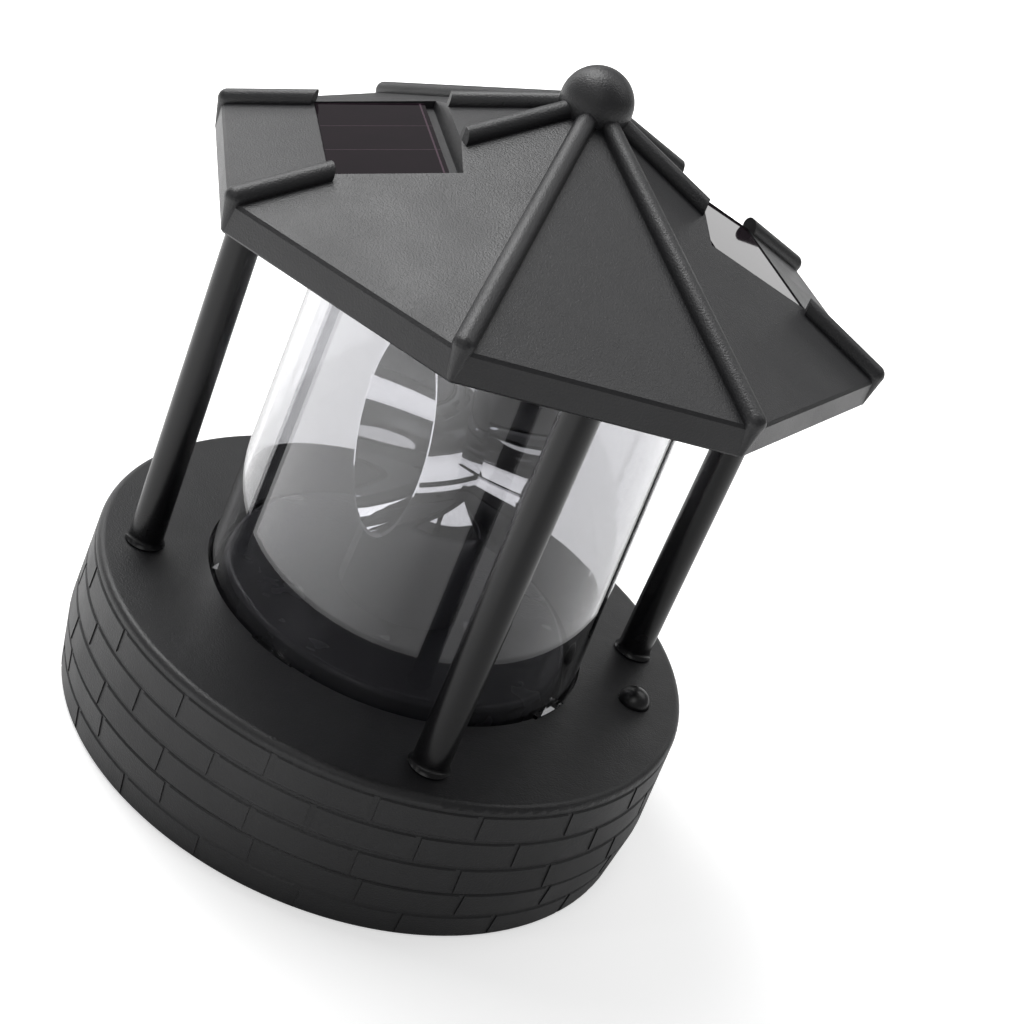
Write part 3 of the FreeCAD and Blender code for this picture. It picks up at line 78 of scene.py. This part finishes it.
def linear(hex_colour):
    """sRGB hex to linear RGBA: c/12.92 below 0.04045, else ((c + 0.055) / 1.055) ** 2.4."""
    channels = [int(hex_colour[i:i + 2], 16) / 255 for i in (1, 3, 5)]
    return (*[c / 12.92 if c < 0.04045 else ((c + 0.055) / 1.055) ** 2.4 for c in channels], 1.0)


def new_material(name):
    """An empty node tree with a Principled shader wired to the output."""
    material = bpy.data.materials.new(name)
    material.use_nodes = True
    tree = material.node_tree
    tree.nodes.clear()
    output = tree.nodes.new("ShaderNodeOutputMaterial")
    shader = tree.nodes.new("ShaderNodeBsdfPrincipled")
    tree.links.new(shader.outputs["BSDF"], output.inputs["Surface"])
    return material, tree, shader


def add(tree, kind, settings=None, inputs=None):
    """Adds a node, sets its properties, and fills or links its inputs."""
    node = tree.nodes.new(kind)
    for key, value in (settings or {}).items():
        setattr(node, key, value)
    for key, value in (inputs or {}).items():
        if isinstance(value, bpy.types.NodeSocket):
            tree.links.new(value, node.inputs[key])
        else:
            node.inputs[key].default_value = value
    return node


def settle(shader, **values):
    """Sets the numbers and colours that are the same all over a surface."""
    for key, value in values.items():
        shader.inputs[key.replace("_", " ")].default_value = value


def dress(material, *names):
    """Gives a material to CAD nodes."""
    for name in names:
        slots = nodes[name].data.materials
        slots.clear()
        slots.append(material)
    print(material.name, "on", ", ".join(names))


# %% [markdown]
# ## Black moulded plastic
# The roof and the brick base are injection-moulded ABS. Their steel mould was spark-eroded, which
# leaves an even grain about half a millimetre across that turns a sharp shine into a broad sheen.
# The grain could be modelled, but it would take millions of faces, so a bump map gives it. It is
# drawn about 0.1 mm deep, deeper than the real one, so that it shows. Two slower noises are added:
# one of 20 mm lets the sheen drift, as the thickness of the wall does on the real part, and one of
# 3 mm shakes large flat faces a little, so that they don't look like card.

# %% Moulded plastic
PLASTIC_IOR = 1.53
DRIFT_MM = 20
WAVE_MM = 3
NOISE_LOW, NOISE_HIGH = 0.3, 0.7


def moulded(name, colour, grain_mm, grain_depth_mm, roughness, spread, wave_depth_mm=0.0,
            gloss=0.5, metallic=0.0):
    """Roughness drifts slowly by its spread; a fine grain and a slow wave lift the surface."""
    material, tree, shader = new_material(name)
    place = add(tree, "ShaderNodeTexCoord").outputs["Object"]
    drift = add(tree, "ShaderNodeTexNoise", None,
                {"Vector": place, "Scale": 1000 / DRIFT_MM, "Detail": 3.0, "Roughness": 0.6})
    sheen = add(tree, "ShaderNodeMapRange", None,
                {"Value": drift.outputs["Fac"], "From Min": NOISE_LOW, "From Max": NOISE_HIGH,
                 "To Min": roughness - spread, "To Max": roughness + spread})
    tree.links.new(sheen.outputs["Result"], shader.inputs["Roughness"])
    grain = add(tree, "ShaderNodeTexNoise", None,
                {"Vector": place, "Scale": 1000 / grain_mm, "Detail": 2.0, "Roughness": 0.55})
    lift = add(tree, "ShaderNodeBump", None,
               {"Strength": 1.0, "Distance": grain_depth_mm / 1000,
                "Height": grain.outputs["Fac"]})
    if wave_depth_mm:
        wave = add(tree, "ShaderNodeTexNoise", None,
                   {"Vector": place, "Scale": 1000 / WAVE_MM, "Detail": 1.0})
        lift = add(tree, "ShaderNodeBump", None,
                   {"Strength": 1.0, "Distance": wave_depth_mm / 1000,
                    "Height": wave.outputs["Fac"], "Normal": lift.outputs["Normal"]})
    tree.links.new(lift.outputs["Normal"], shader.inputs["Normal"])
    settle(shader, Base_Color=linear(colour), Specular_IOR_Level=gloss, Metallic=metallic)
    if not metallic:
        settle(shader, IOR=PLASTIC_IOR)
    return material


# %% [markdown]
# ## Five blacks
# All the black mouldings are one plastic, and what tells them apart is the polish of their moulds.
# Roof and base carry the spark grain, which gives them a soft grey sheen. The columns come from
# smoother steel and are satin, so a lamp draws a narrow streak down them. The lamp plate is half
# glossy, and the turning pedestal and the lamp's post are polished. These three stand behind the
# tube, which greys and darkens them, so their black is written lighter than that of the columns.
# That lighter grey is painted light: it stands in for the light and white reflections that reach
# them.

# %% Black ABS on the roof, base, columns and plate
roof_abs = moulded("black_abs_spark_grain_fine", "#1f1f21", grain_mm=0.45, grain_depth_mm=0.13,
                   roughness=0.42, spread=0.05, wave_depth_mm=0.02)
base_abs = moulded("black_abs_spark_grain", "#19191b", grain_mm=0.5, grain_depth_mm=0.11,
                   roughness=0.43, spread=0.05, wave_depth_mm=0.05)
satin_abs = moulded("black_abs_satin", "#0e0e10", grain_mm=0.8, grain_depth_mm=0.01,
                    roughness=0.24, spread=0.04, gloss=0.35)
# The plate's and the pedestal's greys are painted light, lighter than their real black.
plate_abs_painted_light = moulded("black_abs_half_gloss_painted_light", "#353538", grain_mm=0.8, grain_depth_mm=0.02,
                    roughness=0.25, spread=0.04)
polished_abs_painted_light = moulded("black_abs_polished_painted_light", "#404043", grain_mm=1.5, grain_depth_mm=0.006,
                    roughness=0.2, spread=0.03)

dress(roof_abs, "roof_shell", "finial_ball", "roof_ceiling")
dress(base_abs, "base_shell", "base_ring", "lamp_housing", "battery_cover")
dress(plate_abs_painted_light, "lamp_plate")
dress(satin_abs, "column_front", "column_left", "column_right", "column_back")
dress(polished_abs_painted_light, "pedestal", "led_post")

# %% [markdown]
# ## Clear tube
# The chamber is a moulded tube of clear polystyrene. Its wall is real, two millimetres thick, so
# light bends through it at the rims and both faces mirror a little of the room. The plastic takes
# part of the light at each face. On top of that its colour is written grey, which is painted shade:
# it darkens what lies behind its walls more than the clear plastic does. Cycles treats a clear
# solid as a thing that stops a lamp's light, so that all in the chamber would lie in the dark. The
# tube is therefore told to cast no shadow.

# %% Clear polystyrene
POLYSTYRENE_IOR = 1.59
clear, clear_tree, clear_shader = new_material("clear_polystyrene_moulded")
# The grey colour is painted shade on all that is seen through the tube.
settle(clear_shader, Base_Color=linear("#cbcbcd"), IOR=POLYSTYRENE_IOR, Roughness=0.0,
       Specular_IOR_Level=0.55, Transmission_Weight=1.0)
dress(clear, "clear_tube")
nodes["clear_tube"].visible_shadow = False

# %% [markdown]
# ## Mirror
# Both halves of the reflector are moulded plastic under a vacuum-deposited layer of aluminium and
# a clear lacquer. It mirrors sharply, and the moulding under it bends straight lines a little. The
# bowls' own curve does most of that, and a bump wave 12 mm long and 0.02 mm deep does the rest.

# %% Vacuum-metallised plastic
MIRROR_WAVE_MM = 12
MIRROR_WAVE_DEPTH_MM = 0.02
mirror, mirror_tree, mirror_shader = new_material("vacuum_metallised_plastic")
settle(mirror_shader, Base_Color=linear("#f0f0f2"), Metallic=1.0, Roughness=0.02)
mirror_place = add(mirror_tree, "ShaderNodeTexCoord").outputs["Object"]
mirror_wave = add(mirror_tree, "ShaderNodeTexNoise", None,
                  {"Vector": mirror_place, "Scale": 1000 / MIRROR_WAVE_MM, "Detail": 0.0})
mirror_lift = add(mirror_tree, "ShaderNodeBump", None,
                  {"Strength": 1.0, "Distance": MIRROR_WAVE_DEPTH_MM / 1000,
                   "Height": mirror_wave.outputs["Fac"]})
mirror_tree.links.new(mirror_lift.outputs["Normal"], mirror_shader.inputs["Normal"])
dress(mirror, "reflector_upper", "reflector_lower")

# %% [markdown]
# ## Solar panels
# Each panel is a small plate of amorphous silicon, which is a deep maroon, almost black, under a
# flat clear cover that mirrors the sky. Hair-thin lines part its three cells, and a thin bus line
# runs along the upper edge. The lines could be cut into the mesh, but they are only printed. So
# they are worked out from the place on the plate: the distance to the nearest cell's edge comes
# from a ping-pong of y, and a comparison turns it into a line.

# %% Amorphous silicon
PLATE_LENGTH = 0.0488
CELLS = 3
CELL_WIDTH = PLATE_LENGTH / CELLS
LINE_WIDTH = 0.0002
BUS_PLACE = 0.0349
CLOUD_MM = 8


def solar_material(name, side):
    """A line where y is within half its width of a cell's edge, and one at a set distance out."""
    material, tree, shader = new_material(name)
    place = add(tree, "ShaderNodeTexCoord").outputs["Object"]
    split = add(tree, "ShaderNodeSeparateXYZ", None, {"Vector": place})
    shifted = add(tree, "ShaderNodeMath", {"operation": "ADD"},
                  {0: split.outputs["Y"], 1: CELL_WIDTH * CELLS / 2})
    to_edge = add(tree, "ShaderNodeMath", {"operation": "PINGPONG"},
                  {0: shifted.outputs[0], 1: CELL_WIDTH / 2})
    parting = add(tree, "ShaderNodeMath", {"operation": "LESS_THAN"},
                  {0: to_edge.outputs[0], 1: LINE_WIDTH / 2})
    outward = add(tree, "ShaderNodeMath", {"operation": "MULTIPLY"},
                  {0: split.outputs["X"], 1: float(side)})
    bus = add(tree, "ShaderNodeMath", {"operation": "COMPARE"},
              {0: outward.outputs[0], 1: BUS_PLACE, 2: LINE_WIDTH})
    line = add(tree, "ShaderNodeMath", {"operation": "MAXIMUM"},
               {0: parting.outputs[0], 1: bus.outputs[0]})
    cloud = add(tree, "ShaderNodeTexNoise", None,
                {"Vector": place, "Scale": 1000 / CLOUD_MM, "Detail": 2.0})
    cell = add(tree, "ShaderNodeMix", {"data_type": "RGBA"},
               {"Factor": cloud.outputs["Fac"], 6: linear("#110910"), 7: linear("#1b0f17")})
    colour = add(tree, "ShaderNodeMix", {"data_type": "RGBA"},
                 {"Factor": line.outputs[0], 6: cell.outputs[2], 7: linear("#50404a")})
    tree.links.new(colour.outputs[2], shader.inputs["Base Color"])
    settle(shader, Roughness=0.05, IOR=1.5, Specular_IOR_Level=0.4)
    return material


dress(solar_material("amorphous_silicon_left", -1), "solar_panel_left")
dress(solar_material("amorphous_silicon_right", 1), "solar_panel_right")

# %% [markdown]
# ## Rubber, steel and the works inside
# The button is soft rubber with a dull shine. Screws, gears, cell and circuit board sit inside the
# base, and each has the finish that such a part has: bluish zinc on the screws, milky bare acetal
# on the gears, the soft mirror of a drawn steel can on the motor, a plain green sleeve shrunk
# round the cell, and green solder mask on the board. A material could be written for each, but they
# differ only in colour, shine and metal, so one function makes them all.

# %% Smaller finishes
FAINT_GRAIN_MM = 0.6
FAINT_DEPTH_MM = 0.01
FAINT_SPREAD = 0.03


def plain_finish(name, colour, roughness, metallic=0.0):
    """The moulded finish with a faint grain, and metallic where the piece is metal."""
    return moulded(name, colour, FAINT_GRAIN_MM, FAINT_DEPTH_MM, roughness, FAINT_SPREAD,
                   metallic=metallic)


dress(plain_finish("black_rubber_moulded", "#121214", 0.30), "button_cap", "tube_seal")
dress(plain_finish("zinc_plated_steel", "#b9bbc0", 0.3, 1.0),
      "ring_screws", "ceiling_screws", "housing_screws", "cover_screw", "board_screws", "idler_pin")
dress(plain_finish("natural_acetal", "#e8e6dc", 0.4), "reflector_spindle", "spindle_gear",
      "idler_gear", "motor_pinion")
dress(plain_finish("drawn_steel_can", "#a8a9ac", 0.35, 1.0), "motor")
dress(plain_finish("black_abs_tray", "#202022", 0.5), "gear_tray", "switch_body")
dress(plain_finish("shrink_sleeve_green", "#2f6b3f", 0.3), "battery")
dress(plain_finish("nickel_spring_steel", "#c2c0b8", 0.25, 1.0), "battery_contacts")
dress(plain_finish("solder_mask_laminate", "#1d5a34", 0.35), "circuit_board")
dress(plain_finish("epoxy_packages", "#1b1b1c", 0.5), "board_parts")

# %% [markdown]
# ## The lamp's lens
# The light-emitting diode is cast in a lens of clear epoxy, which looks like a drop of water with a
# faint milkiness. The lens is solid, so it needs only a clear shader that lets most light through.

# %% Clear epoxy
lens, lens_tree, lens_shader = new_material("clear_epoxy_lens")
settle(lens_shader, Base_Color=linear("#f2f4ee"), IOR=1.54, Roughness=0.05,
       Transmission_Weight=0.85)
dress(lens, "led")

# %% [markdown]
# ## Floor
# A roll of white paper lies under the lamp head and runs on behind it. It takes the lamps' light
# and throws a little of it back up. One flat face of six metres is enough for it, because its far
# edge and the room behind are both plain white.

# %% Floor
FLOOR_HALF = 3.0
floor_mesh = bpy.data.meshes.new("floor")
corners = [(-FLOOR_HALF, -FLOOR_HALF, 0), (FLOOR_HALF, -FLOOR_HALF, 0),
           (FLOOR_HALF, FLOOR_HALF, 0), (-FLOOR_HALF, FLOOR_HALF, 0)]
floor_mesh.from_pydata(corners, [], [(0, 1, 2, 3)])
floor = bpy.data.objects.new("floor", floor_mesh)
bpy.context.scene.collection.objects.link(floor)
print("floor", 2 * FLOOR_HALF, "m wide")

# %% [markdown]
# ## White behind and beside the lamp head
# Paper lit by these lamps fades to grey far from them. More lamps would whiten it, but they would
# also wash out the black plastic. So the paper and the room get a glow that depends on who looks,
# which the Light Path node tells. A camera ray, and a ray that has only passed through the tube,
# see white.

# %% Rays that see white


def rays_that_see_white(tree):
    """1 for a camera ray, or one that has only passed through clear walls; 0 for all others.

    A glossy depth below 0.5 means that nothing has mirrored the ray yet.
    """
    rays = add(tree, "ShaderNodeLightPath")
    unmirrored = add(tree, "ShaderNodeMath", {"operation": "LESS_THAN"},
                     {0: rays.outputs["Glossy Depth"], 1: 0.5})
    through = add(tree, "ShaderNodeMath", {"operation": "MULTIPLY"},
                  {0: rays.outputs["Is Transmission Ray"], 1: unmirrored.outputs[0]})
    white = add(tree, "ShaderNodeMath", {"operation": "MAXIMUM"},
                {0: rays.outputs["Is Camera Ray"], 1: through.outputs[0]})
    return white.outputs[0]


# %% [markdown]
# ## The paper's glow
# Where white is seen, the glow grows with the distance from the lamp head, so the shadow stays
# close to it. Shiny plastic and the tube's faces mirror the paper as well. Light that is mirrored
# at the inner face of the tube has passed through the wall, so it needs a stronger glow to show the
# paper as a pale veil on the tube. Both glows start a little to the side of the lamp head, as if
# the paper were lit from there, so the front of the tube stays clear. What the bowls of the
# reflector mirror has crossed four faces of the tube, and sees an even white.

# %% White paper
NEAR, FAR = 0.12, 0.7
GLOW_NEAR, GLOW_FAR = 0.55, 1.1
SIDE_FROM, SIDE_TO = 0.04, 0.20
RIGHT_SHARE = 0.4
PAPER_GLOW = 0.2
GLOSSY_GLOW = 0.7
WALL_GLOW = 2.4
MIRROR_GLOW = 1.2
MIRROR_DEPTH = 3.5

paper, paper_tree, paper_shader = new_material("white_paper_roll")
paper_place = add(paper_tree, "ShaderNodeTexCoord").outputs["Object"]
away = add(paper_tree, "ShaderNodeVectorMath", {"operation": "LENGTH"}, {0: paper_place})
fade = add(paper_tree, "ShaderNodeMapRange", None,
           {"Value": away.outputs["Value"], "From Min": NEAR, "From Max": FAR,
            "To Min": GLOW_NEAR, "To Max": GLOW_FAR})
paper_parts = add(paper_tree, "ShaderNodeSeparateXYZ", None, {"Vector": paper_place})
leftward = add(paper_tree, "ShaderNodeMath", {"operation": "MULTIPLY"},
               {0: paper_parts.outputs["X"], 1: -1.0})
rightward = add(paper_tree, "ShaderNodeMath", {"operation": "MULTIPLY"},
                {0: paper_parts.outputs["X"], 1: RIGHT_SHARE})
sideways = add(paper_tree, "ShaderNodeMath", {"operation": "MAXIMUM"},
               {0: leftward.outputs[0], 1: rightward.outputs[0]})
side = add(paper_tree, "ShaderNodeMapRange", None,
           {"Value": sideways.outputs[0], "From Min": SIDE_FROM, "From Max": SIDE_TO})
side_glow = add(paper_tree, "ShaderNodeMath", {"operation": "MULTIPLY"},
                {0: side.outputs["Result"], 1: GLOSSY_GLOW})
wall_glow = add(paper_tree, "ShaderNodeMath", {"operation": "MULTIPLY"},
                {0: side.outputs["Result"], 1: WALL_GLOW})

# %% Paper seen by each kind of ray
bounce = add(paper_tree, "ShaderNodeLightPath")
glossy = add(paper_tree, "ShaderNodeMix", {"data_type": "FLOAT"},
             {0: bounce.outputs["Is Glossy Ray"], 2: PAPER_GLOW, 3: side_glow.outputs[0]})
walled = add(paper_tree, "ShaderNodeMix", {"data_type": "FLOAT"},
             {0: bounce.outputs["Is Transmission Ray"], 2: glossy.outputs[0],
              3: wall_glow.outputs[0]})
twice = add(paper_tree, "ShaderNodeMath", {"operation": "GREATER_THAN"},
            {0: bounce.outputs["Transmission Depth"], 1: MIRROR_DEPTH})
mirrored = add(paper_tree, "ShaderNodeMix", {"data_type": "FLOAT"},
               {0: twice.outputs[0], 2: walled.outputs[0], 3: MIRROR_GLOW})
glow = add(paper_tree, "ShaderNodeMix", {"data_type": "FLOAT"},
           {0: rays_that_see_white(paper_tree), 2: mirrored.outputs[0], 3: fade.outputs["Result"]})
paper_tree.links.new(glow.outputs[0], paper_shader.inputs["Emission Strength"])
settle(paper_shader, Base_Color=linear("#e8e8e8"), Roughness=0.9,
       Emission_Color=(1.0, 1.0, 1.0, 1.0))
floor_mesh.materials.append(paper)
print("paper glows from", GLOW_NEAR, "to", GLOW_FAR)

# %% [markdown]
# ## Room
# Black plastic shows little of its own colour and much of what it mirrors, so the room is dim, and
# only white where the camera sees it. The tube's wall mirrors hardly any of it, or it would veil
# the chamber.

# %% World
BACKDROP_GLOW = 1.0
ROOM_GLOW = 0.2
ROOM_IN_WALL = 0.03

world = bpy.data.worlds.new("studio")
bpy.context.scene.world = world
world.use_nodes = True
world_tree = world.node_tree
world_tree.nodes.clear()
leaving = add(world_tree, "ShaderNodeLightPath")
dim = add(world_tree, "ShaderNodeMix", {"data_type": "FLOAT"},
          {0: leaving.outputs["Is Transmission Ray"], 2: ROOM_GLOW, 3: ROOM_IN_WALL})
room = add(world_tree, "ShaderNodeMix", {"data_type": "FLOAT"},
           {0: rays_that_see_white(world_tree), 2: dim.outputs[0], 3: BACKDROP_GLOW})
backdrop = add(world_tree, "ShaderNodeBackground", None,
               {"Color": (1.0, 1.0, 1.0, 1.0), "Strength": room.outputs[0]})
add(world_tree, "ShaderNodeOutputWorld", None, {"Surface": backdrop.outputs[0]})
print("room glows", ROOM_GLOW)

# %% [markdown]
# ## Lamps
# Soft round lamps stand behind and above, where the roof's bright facets mirror them, and the front
# of the lamp head faces the dim side of the room. Two upright strips at the left draw the narrow
# streaks on the columns and bricks there. One sun would be simpler, but black plastic mirrors the
# shape of its lamps, and a sun would leave only a few hard glints. The powers were found from how
# bright a dozen places on the roof, the deck and the bricks should be.

# %% Soft lamps
LAMP_AWAY = 1.3
LAMP_AIM = Vector((0.0, 0.0, 0.09))
ROUND = (0.8, 0.8)
LOW_WIDE = (1.1, 0.5)
STRIP = (0.1, 1.0)
# Name, degrees from straight behind and above the floor, watts, and width and height in metres.
LAMPS = [
    ("lamp_high_left", -45, 66, 9.8, ROUND),
    ("lamp_high_right", 45, 66, 1.9, ROUND),
    ("lamp_right", 80, 48, 1.7, ROUND),
    ("lamp_behind", -26, 46, 4.6, ROUND),
    ("lamp_low_left", -28, 18, 2.2, ROUND),
    ("lamp_low_right", 32, 12, 1.2, LOW_WIDE),
    ("lamp_front", -150, 42, 1.6, ROUND),
    ("strip_left", -112, 22, 0.6, STRIP),
    ("strip_far_left", -80, 30, 0.5, STRIP),
]


def soft_lamp(name, azimuth, elevation, watts, size):
    """An oval area lamp: azimuth is counted from straight behind, clockwise seen from above."""
    turn = math.radians(azimuth)
    rise = math.radians(elevation)
    outward = Vector((math.sin(turn) * math.cos(rise), math.cos(turn) * math.cos(rise),
                      math.sin(rise)))
    data = bpy.data.lights.new(name, "AREA")
    data.shape = "ELLIPSE"
    data.size, data.size_y = size
    data.energy = watts
    lamp = bpy.data.objects.new(name, data)
    lamp.location = LAMP_AIM + outward * LAMP_AWAY
    lamp.rotation_mode = "QUATERNION"
    lamp.rotation_quaternion = (-outward).to_track_quat("-Z", "Y")
    lamp.visible_camera = False
    bpy.context.scene.collection.objects.link(lamp)
    print(name, "at", [round(v, 2) for v in lamp.location], watts, "W")


for lamp_row in LAMPS:
    soft_lamp(*lamp_row)
bpy.context.scene.view_settings.view_transform = "Standard"
